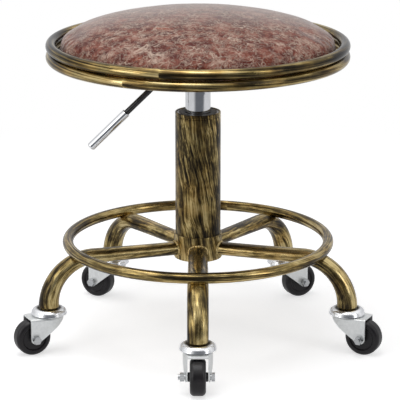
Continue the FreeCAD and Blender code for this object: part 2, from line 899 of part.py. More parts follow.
def make_lever():
    slope = math.radians(dim("lever_slope").value)
    bend_r = dim("lever_bend_r")
    straight_x = -dim("lever_bend")
    bent_x = straight_x - bend_r * math.sin(slope)
    bent_z = lever_height - bend_r * (1 - math.cos(slope))
    end_x = -dim("lever_end_x")
    end_z = bent_z + (end_x - bent_x) * math.tan(slope)
    stop = dim("grip_stop")
    rod_end_x = end_x + stop * math.cos(slope)
    rod_end_z = end_z + stop * math.sin(slope)
    rod = new_body("lever_rod")
    path = sketch_on(rod, "XZ_Plane")
    draw(
        path,
        (dim("lever_tip"), lever_height),
        (straight_x, lever_height),
        (bent_x, bent_z, bend_r, 1),
        (rod_end_x, rod_end_z),
        closed=False,
    )
    section = sketch_on(rod, "YZ_Plane", dim("lever_tip"))
    draw_circle(section, 0, lever_height, lever_r)
    feature(rod, "AdditivePipe", section, Spine=path)
    boss = sketch_on(rod, "XZ_Plane")
    draw_circle(boss, pivot_x, lever_height, dim("lever_boss_d") / 2)
    feature(rod, "Pad", boss, SideType="Symmetric", Length=dim("lever_boss_width"))
    bore = sketch_on(rod, "XZ_Plane")
    draw_circle(bore, pivot_x, lever_height, dim("lever_pin_d") / 2 + gap)
    feature(rod, "Pocket", bore, Type="ThroughAll", SideType="Symmetric")
    keep("lever_rod", rod)

    grip_r = dim("grip_d") / 2
    grip_round = dim("grip_round")
    grip_chamfer = dim("grip_chamfer")
    grip = turned(
        "lever_grip",
        (0, 0),
        (grip_r - grip_round, 0),
        (grip_r, grip_round, grip_round, 1),
        (grip_r, dim("grip_length") - grip_chamfer),
        (grip_r - grip_chamfer, dim("grip_length")),
        (lever_r, dim("grip_length")),
        (lever_r, stop),
        (0, stop),
    )
    along_rod = Rotation(Vector(0, 1, 0), 90.0 - dim("lever_slope").value)
    keep("lever_grip", grip, Placement(Vector(end_x.value, 0, end_z.value), along_rod))


def make_lever_bracket():
    sheet_size = dim("bracket_sheet")
    ear_r = dim("bracket_ear_r")
    outer = dim("bracket_gap") + sheet_size * 2
    bracket = new_body("lever_bracket")
    side = sketch_on(bracket, "XZ_Plane")
    draw(
        side,
        (pivot_x - ear_r, lever_height),
        (pivot_x + ear_r, lever_height, ear_r * 1.0001, 1),
        (pivot_x + ear_r + dim("bracket_flare"), spider_bottom),
        (pivot_x - ear_r - dim("bracket_flare"), spider_bottom),
    )
    feature(bracket, "Pad", side, SideType="Symmetric", Length=outer)
    channel = sketch_on(bracket, "YZ_Plane")
    half = dim("bracket_gap") / 2
    floor = spider_bottom - sheet_size
    low = lever_height - ear_r - cut_past
    draw(channel, (-half, low), (half, low), (half, floor), (-half, floor))
    feature(bracket, "Pocket", channel, Type="ThroughAll", SideType="Symmetric")
    bore = sketch_on(bracket, "XZ_Plane")
    draw_circle(bore, pivot_x, lever_height, dim("lever_pin_d") / 2)
    feature(bracket, "Pocket", bore, Type="ThroughAll", SideType="Symmetric")
    keep("lever_bracket", bracket)

    pin = new_body("lever_pivot_pin")
    shank = sketch_on(pin, "XZ_Plane")
    draw_circle(shank, pivot_x, lever_height, dim("lever_pin_d") / 2)
    feature(pin, "Pad", shank, SideType="Symmetric", Length=outer + dim("lever_pin_past") * 2)
    head = sketch_on(pin, "XZ_Plane", outer / 2)
    draw_circle(head, pivot_x, lever_height, dim("lever_pin_head_d") / 2)
    feature(pin, "Pad", head, Length=dim("lever_pin_head_height"))
    keep("lever_pivot_pin", pin)


# Legs: tapered tubes that run out level from the hub and bend down to the casters, under the foot ring


def leg_sections(leg, start, knee, tip, thinner):
    """Root, knee and tip outlines of the leg's tube, thinner all round by the given amount."""
    height = dim("leg_height")
    root = sketch_on(leg, "YZ_Plane", start)
    draw_ellipse(root, 0, height, dim("leg_root_width") / 2 - thinner, dim("leg_root_height") / 2 - thinner)
    middle = sketch_on(leg, "YZ_Plane", knee)
    draw_ellipse(middle, 0, height, dim("leg_knee_width") / 2 - thinner, dim("leg_knee_height") / 2 - thinner)
    end = sketch_on(leg, "XY_Plane", tip)
    tip_r = dim("leg_tip_d") / 2 - thinner
    # A hair wider than long, so that all three outlines start on the same side
    draw_ellipse(end, dim("leg_circle_r"), 0, tip_r - dim("leg_tip_seam"), tip_r)
    return root, [middle, end]


def make_leg(label, angle):
    leg = new_body(label)
    start = hub_r / 2
    reach = dim("leg_circle_r")
    bend_r = dim("leg_bend_r")
    height = dim("leg_height")
    tip = dim("leg_tip")
    knee = reach - bend_r
    path = sketch_on(leg, "XZ_Plane")
    draw(
        path,
        (start, height),
        (knee, height),
        (reach, height - bend_r, bend_r, -1),
        (reach, tip),
        closed=False,
    )
    for kind, thinner in (("AdditivePipe", 0.0), ("SubtractivePipe", dim("leg_wall"))):
        root, others = leg_sections(leg, start, knee, tip, thinner)
        doc.recompute()
        feature(leg, kind, root, Spine=path, Sections=others, Transformation="Multisection")
    # The root is coped to the hub, and the foot ring lies in a saddle across the bend
    hub = sketch_on(leg, "XY_Plane")
    draw_circle(hub, 0, 0, hub_r)
    feature(leg, "Pocket", hub, Type="ThroughAll", SideType="Symmetric")
    saddle = sketch_on(leg, "XZ_Plane")
    draw_circle(saddle, dim("foot_ring_d") / 2, dim("foot_ring_height"), dim("foot_tube_d") / 2)
    revolve(leg, saddle, "Groove")
    keep(label, leg, Placement(Vector(), Rotation(Vector(0, 0, 1), angle)))


# Casters: built about the kingpin, with the wheel trailing along x, then turned and set under their legs

cup_seat = dim("cup_seat")
cup_under = cup_seat - dim("cup_sheet")
stem_r = dim("stem_d") / 2
kingpin_r = dim("kingpin_d") / 2
wheel_r = dim("wheel_d") / 2
trail = dim("trail")
axle_r = dim("axle_d") / 2


def caster_place(leg_angle, trail_angle):
    spin = math.radians(leg_angle)
    reach = dim("leg_circle_r").value
    spot = Vector(reach * math.cos(spin), reach * math.sin(spin), 0)
    return Placement(spot, Rotation(Vector(0, 0, 1), trail_angle))


def make_stem(place):
    """Threaded stem above the cup, with the kingpin and its riveted head below."""
    fork_under = dim("fork_top") - dim("fork_sheet")
    rivet_top = fork_under - dim("rivet_gap")
    rivet_bottom = rivet_top - dim("rivet_height")
    stem_top = cup_seat + dim("stem_length")
    stem = turned(
        "caster_stem",
        (0, rivet_bottom),
        (dim("rivet_end_d") / 2, rivet_bottom),
        (dim("rivet_d") / 2, rivet_top),
        (kingpin_r, rivet_top),
        (kingpin_r, cup_under),
        (stem_r, cup_under),
        (stem_r, stem_top - chamfer),
        (stem_r - chamfer, stem_top),
        (0, stem_top),
    )
    stem.Placement = place
    return stem


def make_ferrule(place):
    """Threaded insert in the end of the leg, with a collar that stands on the cup."""
    collar_r = dim("ferrule_d") / 2
    spigot_r = dim("leg_tip_d") / 2 - dim("leg_wall") - dim("ferrule_gap")
    tip = dim("leg_tip")
    ferrule = turned(
        "leg_ferrule",
        (stem_r, cup_seat),
        (collar_r - edge_round, cup_seat),
        (collar_r, cup_seat + edge_round, edge_round, 1),
        (collar_r, tip),
        (spigot_r, tip),
        (spigot_r, tip + dim("ferrule_spigot")),
        (stem_r, tip + dim("ferrule_spigot")),
    )
    ferrule.Placement = place
    return ferrule


def make_cup(label, place):
    """Pressed cup over the ball race, dished on top round the leg's end."""
    sheet_size = dim("cup_sheet")
    rim_r = dim("cup_d") / 2
    rim = dim("cup_rim")
    crest = dim("cup_crest")
    side_r = rim_r - dim("cup_flare")
    side_low = rim + dim("cup_wall_step")
    dish_r = dim("ferrule_d") / 2 + dim("cup_dish_gap")
    crest_r = dish_r + dim("cup_crest_width")
    cup = turned(
        label,
        (stem_r, cup_under),
        (dish_r + dim("cup_dish_under"), cup_under),
        (crest_r, crest - sheet_size),
        (side_r - sheet_size, side_low, dim("cup_shoulder_inner_r"), -1),
        (rim_r - sheet_size, rim),
        (rim_r, rim),
        (side_r, side_low),
        (crest_r, crest, dim("cup_shoulder_outer_r"), 1),
        (dish_r, cup_seat, dim("cup_dish_r"), 1),
        (stem_r, cup_seat),
    )
    keep(label, cup, place)


def make_fork(label, place):
    """Pressed fork: a round-backed top plate with folded sides that narrow towards the axle."""
    fork_top = dim("fork_top")
    fork_sheet = dim("fork_sheet")
    boss_r = dim("fork_boss_r")
    end_x = trail + boss_r
    depth = fork_top - wheel_r + boss_r + cut_past
    shell = new_body(label + "_shell")

    def plan(sketch, round_r, half, reach):
        """Arc round the kingpin with two tangent sides that run out to a straight end."""
        arc = sketch.addGeometry(
            Part.ArcOfCircle(
                Part.Circle(Vector(), Vector(0, 0, 1), round_r.value), math.radians(82), math.radians(278)
            )
        )
        tops = [Vector(round_r.value * 0.14, side * round_r.value * 0.99, 0) for side in (1, -1)]
        ends = [Vector(reach.value, side * half.value, 0) for side in (1, -1)]
        upper = sketch.addGeometry(Part.LineSegment(tops[0], ends[0]))
        lower = sketch.addGeometry(Part.LineSegment(tops[1], ends[1]))
        back = sketch.addGeometry(Part.LineSegment(*ends))
        sketch.addConstraint(Sketcher.Constraint("Coincident", arc, 3, -1, 1))
        sketch.addConstraint(Sketcher.Constraint("Tangent", arc, 1, upper, 1))
        sketch.addConstraint(Sketcher.Constraint("Tangent", arc, 2, lower, 1))
        sketch.addConstraint(Sketcher.Constraint("Coincident", upper, 2, back, 1))
        sketch.addConstraint(Sketcher.Constraint("Coincident", lower, 2, back, 2))
        drive(sketch, round_r, "Radius", arc)
        pin_point(sketch, back, 1, reach, half)
        pin_point(sketch, back, 2, reach, -half)

    outer = sketch_on(shell, "XY_Plane", fork_top)
    plan(outer, dim("fork_round_r"), dim("fork_end_width") / 2, end_x)
    block = feature(shell, "Pad", outer, Reversed=True, Length=depth)
    bend_edges(shell, block, fork_top, end_x, dim("fork_bend_r"))
    inner = sketch_on(shell, "XY_Plane", fork_top - fork_sheet)
    mouth_x = end_x + dim("fork_mouth_past")
    plan(inner, dim("fork_round_r") - fork_sheet, dim("fork_mouth_width") / 2, mouth_x)
    hollow = feature(shell, "Pocket", inner, Length=depth)
    bend_edges(shell, hollow, fork_top - fork_sheet, end_x, dim("fork_bend_inner_r"))
    dish_r = dim("dish_d") / 2
    dish_top = fork_top + dim("dish_height")
    dish_root = fork_top - dim("dish_root")
    dish_round = dim("dish_round")
    ball_r = dim("caster_ball_d") / 2 + gap
    ball_rise = dim("caster_ball_height") - dish_top
    ball_half = (ball_r * ball_r - ball_rise * ball_rise).root()
    ball_circle_r = dim("caster_ball_circle_d") / 2
    dish = sketch_on(shell, "XZ_Plane")
    draw(
        dish,
        (0, dish_root),
        (dish_r, dish_root),
        (dish_r, dish_top - dish_round),
        (dish_r - dish_round, dish_top, dish_round, 1),
        (ball_circle_r + ball_half, dish_top),
        (ball_circle_r - ball_half, dish_top, ball_r, -1),
        (0, dish_top),
    )
    revolve(shell, dish)
    bore = sketch_on(shell, "XY_Plane")
    draw_circle(bore, 0, 0, kingpin_r + gap)
    feature(shell, "Pocket", bore, Type="ThroughAll", SideType="Symmetric")

    cheek = new_body(label + "_cheek")
    side = sketch_on(cheek, "XZ_Plane")
    nose = -dim("fork_round_r") - cut_past
    rim_low = fork_top - dim("fork_rim")
    above = fork_top + cut_past
    # The leading edge leaves the axle's boss at this angle and runs up to the rim under the round back
    lead = math.radians(dim("fork_lead_angle").value)
    draw(
        side,
        (nose, above),
        (nose, rim_low),
        (-dim("fork_round_r") + dim("fork_rim_run"), rim_low),
        (trail + boss_r * math.cos(lead), wheel_r + boss_r * math.sin(lead)),
        (trail, wheel_r - boss_r, boss_r, 1),
        (end_x, wheel_r, boss_r, 1),
        (end_x, above),
    )
    feature(cheek, "Pad", side, SideType="Symmetric", Length=dim("fork_round_r") * 4)
    axle = sketch_on(cheek, "XZ_Plane")
    draw_circle(axle, trail, wheel_r, axle_r)
    feature(cheek, "Pocket", axle, Type="ThroughAll", SideType="Symmetric")
    fork = doc.addObject("Part::MultiCommon", label)
    fork.Shapes = [shell, cheek]
    fork.Refine = False
    keep(label, fork, place)


def hexagon(sketch, flats):
    """Six-sided outline about the sketch's origin, measured across its flats."""
    tip = flats / math.sqrt(3)
    turns = [math.radians(60 * side) for side in range(6)]
    draw(sketch, *[(tip * math.cos(turn), tip * math.sin(turn)) for turn in turns])


def make_axle(label, place):
    """Hexagon-headed bolt through the fork, and the nut on its end."""
    grip_half = dim("axle_half_grip")
    bolt = new_body(label + "_bolt")
    head = sketch_on(bolt, "XZ_Plane", -grip_half)
    hexagon(head, dim("axle_head_flats"))
    feature(bolt, "Pad", head, Reversed=True, Length=dim("axle_head_height"))
    shank = sketch_on(bolt, "XZ_Plane", -grip_half)
    draw_circle(shank, 0, 0, axle_r)
    feature(bolt, "Pad", shank, Length=grip_half + dim("axle_end"))
    nut = new_body(label + "_nut")
    block = sketch_on(nut, "XZ_Plane", grip_half)
    hexagon(block, dim("axle_head_flats"))
    draw_circle(block, 0, 0, axle_r)
    feature(nut, "Pad", block, Length=dim("axle_nut_height"))
    axle = group(label, [bolt, nut])
    axle.Placement = place * Placement(Vector(trail.value, 0, wheel_r.value), Rotation())


def make_wheel(label, place):
    """Solid wheel with a rounded tread, dished sides and a long boss that runs on the axle."""
    bore = axle_r + gap
    boss_r = dim("wheel_boss_d") / 2
    boss = dim("wheel_boss_width") / 2
    side = dim("wheel_width") / 2
    web = side - dim("wheel_web_inset")
    web_inner_r = boss_r + dim("wheel_boss_taper")
    rim_r = wheel_r - dim("wheel_rim_width")
    web_outer_r = rim_r - dim("wheel_rim_slope")
    shoulder = dim("wheel_shoulder_r")
    body = new_body(label)
    half = sketch_on(body, "XY_Plane")
    draw(
        half,
        (bore, -boss),
        (boss_r, -boss),
        (web_inner_r, -web),
        (web_outer_r, -web),
        (rim_r, -side),
        (wheel_r - shoulder, -side),
        (wheel_r, -(side - shoulder), shoulder, 1),
        (wheel_r, side - shoulder),
        (wheel_r - shoulder, side, shoulder, 1),
        (rim_r, side),
        (web_outer_r, web),
        (web_inner_r, web),
        (boss_r, boss),
        (bore, boss),
    )
    revolve(body, half)
    keep(label, body, place * Placement(Vector(trail.value, 0, wheel_r.value), Rotation()))


def make_casters():
    places = [caster_place(*angles) for angles in zip(LEG_ANGLES, TRAIL_ANGLES)]
    group("leg_ferrules", [make_ferrule(place) for place in places])
    group("caster_stems", [make_stem(place) for place in places])
    for number, place in enumerate(places, start=1):
        make_cup(f"caster_{number}_cup", place)
        make_fork(f"caster_{number}_fork", place)
        height = dim("caster_ball_height")
        balls = f"caster_{number}_balls"
        ball_ring(balls, 10, dim("caster_ball_d"), dim("caster_ball_circle_d"), height, place)
        make_axle(f"caster_{number}_axle", place)
        make_wheel(f"caster_{number}_wheel", place)


make_column()
make_lift_sleeve()
make_thrust_bearing()
make_rod()
make_pressure_tube()
make_socket_and_pan()
make_spider()
make_board()
make_screws()
make_seat_rings()
make_cushion()
make_lever()
make_lever_bracket()
ring_tube("foot_ring", dim("foot_ring_d"), dim("foot_tube_d"), dim("foot_ring_height"))
for number, angle in enumerate(LEG_ANGLES, start=1):
    make_leg(f"leg_{number}", angle)
make_casters()
doc.recompute()

faults = [item.Label for item in doc.Objects if {"Invalid", "Error"} & set(item.State)]
faults += [label for label, piece in nodes.items() if piece.Shape.isNull() or not piece.Shape.isValid()]
if faults:
    raise RuntimeError("not built: " + ", ".join(faults))
os.makedirs("parts", exist_ok=True)
for label, piece in nodes.items():
    piece.Shape.exportStep(f"parts/{label}.step")
    print(f"{label}: {len(piece.Shape.Solids)} solid(s), {piece.Shape.Volume / 1000:.2f} cm3")
print(f"{len(nodes)} sub-parts")
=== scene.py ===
import math

import bpy
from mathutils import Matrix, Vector


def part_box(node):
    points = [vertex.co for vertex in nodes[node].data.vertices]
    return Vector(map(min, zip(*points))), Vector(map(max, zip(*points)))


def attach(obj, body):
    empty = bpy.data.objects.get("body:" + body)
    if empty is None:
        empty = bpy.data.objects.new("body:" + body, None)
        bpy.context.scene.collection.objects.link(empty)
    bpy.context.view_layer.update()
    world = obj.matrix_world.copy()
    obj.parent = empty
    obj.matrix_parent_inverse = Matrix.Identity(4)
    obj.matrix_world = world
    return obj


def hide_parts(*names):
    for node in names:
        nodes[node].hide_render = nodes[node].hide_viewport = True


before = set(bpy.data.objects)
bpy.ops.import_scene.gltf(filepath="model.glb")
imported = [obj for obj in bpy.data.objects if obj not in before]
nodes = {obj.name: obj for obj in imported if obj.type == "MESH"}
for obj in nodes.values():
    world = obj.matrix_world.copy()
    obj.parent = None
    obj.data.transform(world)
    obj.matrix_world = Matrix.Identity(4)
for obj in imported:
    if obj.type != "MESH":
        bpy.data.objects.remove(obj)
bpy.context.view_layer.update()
scene = bpy.context.scene
scene.view_settings.view_transform = "Standard"
legCount = 5
legNumbers = range(1, legCount + 1)
legStep = 2 * math.pi / legCount
firstLeg = -math.pi / 2  # leg 1 points to the front
print("frame loaded:", len(nodes), "nodes")


# Shader nodes in short

def addNode(tree, kind, **settings):
    made = tree.nodes.new("ShaderNode" + kind)
    for name, value in settings.items():
        setattr(made, name, value)
    return made


def feed(tree, socket, source):
    if isinstance(source, bpy.types.NodeSocket):
        tree.links.new(source, socket)
    else:
        socket.default_value = source


def calc(tree, operation, *sources):
    made = addNode(tree, "Math", operation=operation)
    for socket, source in zip(made.inputs, sources):
        feed(tree, socket, source)
    return made.outputs[0]


def plus(tree, one, other):
    return calc(tree, "ADD", one, other)


def minus(tree, one, other):
    return calc(tree, "SUBTRACT", one, other)


def times(tree, one, other):
    return calc(tree, "MULTIPLY", one, other)


def distance(tree, x, y):
    return calc(tree, "SQRT", plus(tree, times(tree, x, x), times(tree, y, y)))


def weighted(tree, layers):
    total = 0.0
    for layer, weight in layers:
        total = plus(tree, total, times(tree, layer, weight))
    return total


def objectPlace(tree):
    return addNode(tree, "TexCoord").outputs["Object"]


def apart(tree, vector):
    made = addNode(tree, "SeparateXYZ")
    feed(tree, made.inputs[0], vector)
    return made.outputs[0], made.outputs[1], made.outputs[2]


def together(tree, x, y, z):
    made = addNode(tree, "CombineXYZ")
    for socket, source in zip(made.inputs, (x, y, z)):
        feed(tree, socket, source)
    return made.outputs[0]


def turnAboutZ(tree, vector, angle):
    made = addNode(tree, "VectorRotate", rotation_type="Z_AXIS")
    feed(tree, made.inputs["Vector"], vector)
    feed(tree, made.inputs["Angle"], angle)
    return made.outputs[0]


def stretch(tree, vector, scale):
    made = addNode(tree, "Mapping")
    feed(tree, made.inputs["Vector"], vector)
    made.inputs["Scale"].default_value = scale
    return made.outputs[0]


def noise(tree, vector, scale, detail=4.0, roughness=0.55, distortion=0.0, colour=False):
    made = addNode(tree, "TexNoise")
    feed(tree, made.inputs["Vector"], vector)
    values = {"Scale": scale, "Detail": detail, "Roughness": roughness, "Distortion": distortion}
    for name, value in values.items():
        made.inputs[name].default_value = value
    return made.outputs["Color" if colour else 0]


def wander(tree, vector, drift, amount):
    made = addNode(tree, "VectorMath", operation="MULTIPLY_ADD")
    for socket, source in zip(made.inputs, (drift, amount, vector)):
        feed(tree, socket, source)
    return made.outputs[0]


def ramp(tree, source, *stops):
    made = addNode(tree, "ValToRGB")
    elements = made.color_ramp.elements
    elements[0].position = stops[0][0]
    elements[-1].position = stops[-1][0]
    for stop in stops[1:-1]:
        elements.new(stop[0])
    for element, (_, colour) in zip(elements, stops):
        element.color = (*colour, 1.0)
    feed(tree, made.inputs[0], source)
    return made.outputs[0]


def remap(tree, source, side, low, high):
    made = addNode(tree, "MapRange")
    feed(tree, made.inputs["Value"], source)
    made.inputs[side + " Min"].default_value = low
    made.inputs[side + " Max"].default_value = high
    return made.outputs[0]


def fade(tree, source, low, high):  # 0 at low, 1 at high
    return remap(tree, source, "From", low, high)


def span(tree, source, low, high):  # low at 0, high at 1
    return remap(tree, source, "To", low, high)


def mixColours(tree, share, one, other, blend="MIX"):
    made = addNode(tree, "Mix", data_type="RGBA", blend_type=blend)
    for number, source in zip((0, 6, 7), (share, one, other)):
        feed(tree, made.inputs[number], (*source, 1.0) if isinstance(source, tuple) else source)
    return made.outputs[2]


def bump(tree, height, strength, depth, normal=None):
    made = addNode(tree, "Bump")
    made.inputs["Strength"].default_value = strength
    made.inputs["Distance"].default_value = depth
    feed(tree, made.inputs["Height"], height)
    if normal is not None:
        feed(tree, made.inputs["Normal"], normal)
    return made.outputs[0]


def newMaterial(name, sockets):
    material = bpy.data.materials.new(name)
    material.use_nodes = True
    tree = material.node_tree
    shader = tree.nodes["Principled BSDF"]
    for socket, value in sockets.items():
        shader.inputs[socket].default_value = value
    return material, tree, shader


def setFinish(tree, shader, colour, roughness, normal):
    feed(tree, shader.inputs["Base Color"], colour)
    feed(tree, shader.inputs["Roughness"], roughness)
    feed(tree, shader.inputs["Normal"], normal)


# Pieces in short

def wear(piece, material):
    piece.data.materials.clear()
    piece.data.materials.append(material)


def dress(material, *names):
    for name in names:
        wear(nodes[name], material)


def casterPieces(kind):
    return [f"caster_{number}_{kind}" for number in legNumbers]


def pickOnly(piece):
    bpy.ops.object.select_all(action="DESELECT")
    piece.select_set(True)
    bpy.context.view_layer.objects.active = piece


def applyAll(piece):
    pickOnly(piece)
    for modifier in list(piece.modifiers):
        bpy.ops.object.modifier_apply(modifier=modifier.name)


def legReach():
    low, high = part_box("caster_1_cup")
    return -(low.y + high.y) / 2


# Antique brass: dark lacquer brushed through to gold along the run of each tube

brassLook = {
    "metal": {"Metallic": 0.88, "Specular IOR Level": 0.4},
    "strokeWeights": (0.62, 0.58, 0.30),  # broad, fine and hair strokes
    "strokeBump": (0.22, 0.0004),
    "toneHalf": 0.20,
    "strokeNoise": (1.0, 3.0, 0.6),  # scale, detail and roughness
    "blotchNoise": (34.0, 4.0, 0.6),
    "driftNoise": (22.0, 1.0),
    "columnLean": 6.0,  # turn of the strokes round the tube, in radians per metre
    "tubeLean": 5.0,
    "umber": (1.00, 0.90, 0.77),
    "umberNoise": (30.0, 3.0),
    "umberFrom": (0.46, 0.62),
    "tones": (
        (0.08, (0.008, 0.007, 0.006)),
        (0.32, (0.042, 0.031, 0.016)),
        (0.50, (0.134, 0.097, 0.038)),
        (0.68, (0.330, 0.245, 0.092)),
        (0.90, (0.640, 0.510, 0.250)),
    ),
}

# Each stroke: how often it repeats across the tube and along it, per metre
brushLook = {
    "column": {
        "strokes": ((270.0, 10.0), (700.0, 17.0), (1900.0, 42.0)),
        "stray": 0.013,
        "blotch": 0.56,
        "gloss": (0.42, 0.28),
    },
    "legs": {
        "strokes": ((105.0, 11.0), (430.0, 24.0), (1400.0, 60.0)),
        "stray": 0.008,
        "blotch": 0.55,
        "gloss": (0.34, 0.17),
    },
    "footRing": {
        "strokes": ((240.0, 6.0), (600.0, 12.0), (1500.0, 40.0)),
        "stray": 0.003,
        "blotch": 0.36,
        "gloss": (0.28, 0.15),
    },
    "seatRings": {
        "strokes": ((130.0, 9.0), (430.0, 8.0), (1300.0, 14.0)),
        "stray": 0.001,
        "blotch": 0.22,
        "gloss": (0.16, 0.11),
    },
}

columnLook = {"tubeLift": -0.010, "hubLift": 0.055}  # a lift makes more of the gold show

ringLook = {
    # The ends value darkens each ring towards its left and right ends: a painted shade
    "upper_seat_ring": {"brush": "seatRings", "seam": -104.0, "endsPaintedShade": 0.15, "lift": 0.02},
    "lower_seat_ring": {"brush": "seatRings", "seam": -118.0, "endsPaintedShade": 0.0525, "lift": 0.06},
    "foot_ring": {"brush": "footRing", "seam": 76.0, "endsPaintedShade": 0.0, "lift": 0.03},
    "endShadeFrom": (0.86, 1.0),
    "jointPale": 0.07,
    "jointWidth": 0.007,
}

legLook = {"bendRadius": 0.0565, "bendHeight": 0.057, "patternStep": 2.9, "lift": 0.04}


def columnRun(tree):
    place = objectPlace(tree)
    height = apart(tree, place)[2]
    lean = times(tree, height, brassLook["columnLean"])
    acrossX, acrossY = apart(tree, turnAboutZ(tree, place, lean))[:2]
    return together(tree, acrossX, acrossY, height), 0.0


def tubeRun(tree, along, sectionX, sectionY, start=0.0):
    section = together(tree, sectionX, sectionY, 0.0)
    lean = times(tree, along, brassLook["tubeLean"])
    acrossX, acrossY = apart(tree, turnAboutZ(tree, section, lean))[:2]
    return together(tree, acrossX, acrossY, plus(tree, along, start))


def ringRun(name):
    look = ringLook[name]
    low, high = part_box(name)
    middle = (low.z + high.z) / 2
    radius = (high.x - low.x) / 2 - (high.z - low.z) / 2

    def run(tree):
        straight = objectPlace(tree)
        x, y, z = apart(tree, turnAboutZ(tree, straight, math.pi - math.radians(look["seam"])))
        along = times(tree, calc(tree, "ARCTAN2", y, x), radius)
        outward = minus(tree, distance(tree, x, y), radius)
        brushed = tubeRun(tree, along, outward, minus(tree, z, middle))
        # Painted shade darkens both ends, left and right as seen from the front, and the tube is ground
        # pale over its joint
        sideways = calc(tree, "ABSOLUTE", calc(tree, "DIVIDE", apart(tree, straight)[0], radius))
        paintedEndShade = times(tree, fade(tree, sideways, *ringLook["endShadeFrom"]), -look["endsPaintedShade"])
        fromJoint = minus(tree, math.pi * radius, calc(tree, "ABSOLUTE", along))
        joint = fade(tree, fromJoint, ringLook["jointWidth"], 0.0)
        return brushed, plus(tree, paintedEndShade, times(tree, joint, ringLook["jointPale"]))

    return run


def legPlace(tree):
    # The place seen from the nearest of the five legs: its number, then out, sideways and up
    place = objectPlace(tree)
    x, y, _ = apart(tree, place)
    angle = minus(tree, calc(tree, "ARCTAN2", y, x), firstLeg)
    number = calc(tree, "ROUND", calc(tree, "DIVIDE", angle, legStep))
    turn = minus(tree, -firstLeg, times(tree, number, legStep))
    return number, *apart(tree, turnAboutZ(tree, place, turn))


def legRun(tree):
    radius = legLook["bendRadius"]
    number, out, side, height = legPlace(tree)
    past = minus(tree, out, legReach() - radius)
    bent = calc(tree, "MAXIMUM", past, 0.0)
    rise = minus(tree, height, legLook["bendHeight"])
    swing = times(tree, calc(tree, "ARCTAN2", bent, rise), radius)
    along = plus(tree, calc(tree, "MINIMUM", past, 0.0), swing)
    outward = minus(tree, distance(tree, bent, rise), radius)
    return tubeRun(tree, along, side, outward, times(tree, number, legLook["patternStep"])), 0.0


def makeBrass(name, run, brush, lift):
    material, tree, shader = newMaterial(name, brassLook["metal"])
    look = brushLook[brush]
    brushed, rub = run(tree)
    # Strokes wander, so that they cross here and there
    drift = noise(tree, brushed, *brassLook["driftNoise"], colour=True)
    wandering = wander(tree, brushed, drift, (look["stray"], look["stray"], 0.0))
    strokes = [
        noise(tree, stretch(tree, wandering, (across, across, along)), *brassLook["strokeNoise"])
        for across, along in look["strokes"]
    ]
    blotch = noise(tree, brushed, *brassLook["blotchNoise"])
    layers = list(zip([*strokes, blotch], [*brassLook["strokeWeights"], look["blotch"]]))
    middle = sum(weight for _, weight in layers) / 2 - lift
    half = brassLook["toneHalf"]
    tone = fade(tree, plus(tree, weighted(tree, layers), rub), middle - half, middle + half)
    # Browner here and there, where the lacquer is thin
    thin = fade(tree, noise(tree, brushed, *brassLook["umberNoise"]), *brassLook["umberFrom"])
    gold = ramp(tree, tone, *brassLook["tones"])
    colour = mixColours(tree, thin, gold, brassLook["umber"], "MULTIPLY")
    scratches = bump(tree, plus(tree, *strokes[1:]), *brassLook["strokeBump"])
    setFinish(tree, shader, colour, span(tree, tone, *look["gloss"]), scratches)
    return material


def dressBrass():
    dress(makeBrass("brassColumn", columnRun, "column", columnLook["tubeLift"]), "column_tube")
    hub = makeBrass("brassHub", columnRun, "column", columnLook["hubLift"])
    dress(hub, "hub_sleeve", "leg_ferrules")
    for name in ("upper_seat_ring", "lower_seat_ring", "foot_ring"):
        look = ringLook[name]
        dress(makeBrass("brass_" + name, ringRun(name), look["brush"], look["lift"]), name)
    legs = makeBrass("brassLegs", legRun, "legs", legLook["lift"])
    dress(legs, *[f"leg_{number}" for number in legNumbers])
    print("brass dressed")


# Weld beads where the legs meet the hub

weldLook = {
    "rise": 0.012,  # of the leg's middle over the hub's foot
    "halfWidth": 0.0110,
    "halfHeight": 0.0084,
    "thickness": 0.0014,
    "standOff": 0.0002,
    "steps": 120,
    "roundness": 3,
    "wobble": 0.03,
    "ripples": 23,
    "rippleDepth": 0.20,
    "rippleDrift": 1.3,
    "swell": 0.18,
    "swellTurn": 2.1,
    # The beads' lift makes their brass much lighter than the hub's: a painted highlight for the glints
    # on the welds
    "lift": 0.16,
}


def layBead(bead, number):
    low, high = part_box("hub_sleeve")
    angle = firstLeg + legStep * number
    for step, point in enumerate(bead.points):
        turn = 2 * math.pi * step / len(bead.points)
        wobble = 1 + weldLook["wobble"] * math.sin(3 * turn + number)
        side = weldLook["halfWidth"] * wobble * math.cos(turn)
        rise = weldLook["halfHeight"] * wobble * math.sin(turn)
        out = math.sqrt(high.x ** 2 - side ** 2) + weldLook["standOff"]
        x = out * math.cos(angle) - side * math.sin(angle)
        y = out * math.sin(angle) + side * math.cos(angle)
        point.co = (x, y, low.z + weldLook["rise"] + rise, 1.0)
        drift = weldLook["rippleDrift"] * math.sin(2 * turn + number)
        ripple = weldLook["rippleDepth"] * math.sin(weldLook["ripples"] * turn + drift)
        swelling = weldLook["swell"] * math.sin(2 * turn + weldLook["swellTurn"] * number)
        point.radius = 1.0 + ripple + swelling


def makeWelds():
    curve = bpy.data.curves.new("hubWelds", "CURVE")
    curve.dimensions = "3D"
    curve.bevel_depth = weldLook["thickness"]
    curve.bevel_resolution = weldLook["roundness"]
    for number in range(legCount):
        bead = curve.splines.new("POLY")
        bead.points.add(weldLook["steps"] - 1)
        bead.use_cyclic_u = True
        layBead(bead, number)
    beads = bpy.data.objects.new("hubWelds", curve)
    scene.collection.objects.link(beads)
    pickOnly(beads)
    bpy.ops.object.convert(target="MESH")
    beads = bpy.context.object
    bpy.ops.object.shade_smooth()
    # Lighter brass on the beads: a painted highlight
    wear(beads, makeBrass("brassWeldPaintedHighlight", columnRun, "column", weldLook["lift"]))
    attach(beads, "base")
    print("welds made:", len(beads.data.polygons), "faces")


# Other metals, nylon and rubber: a noise for the tone, and others for shine and grain where given

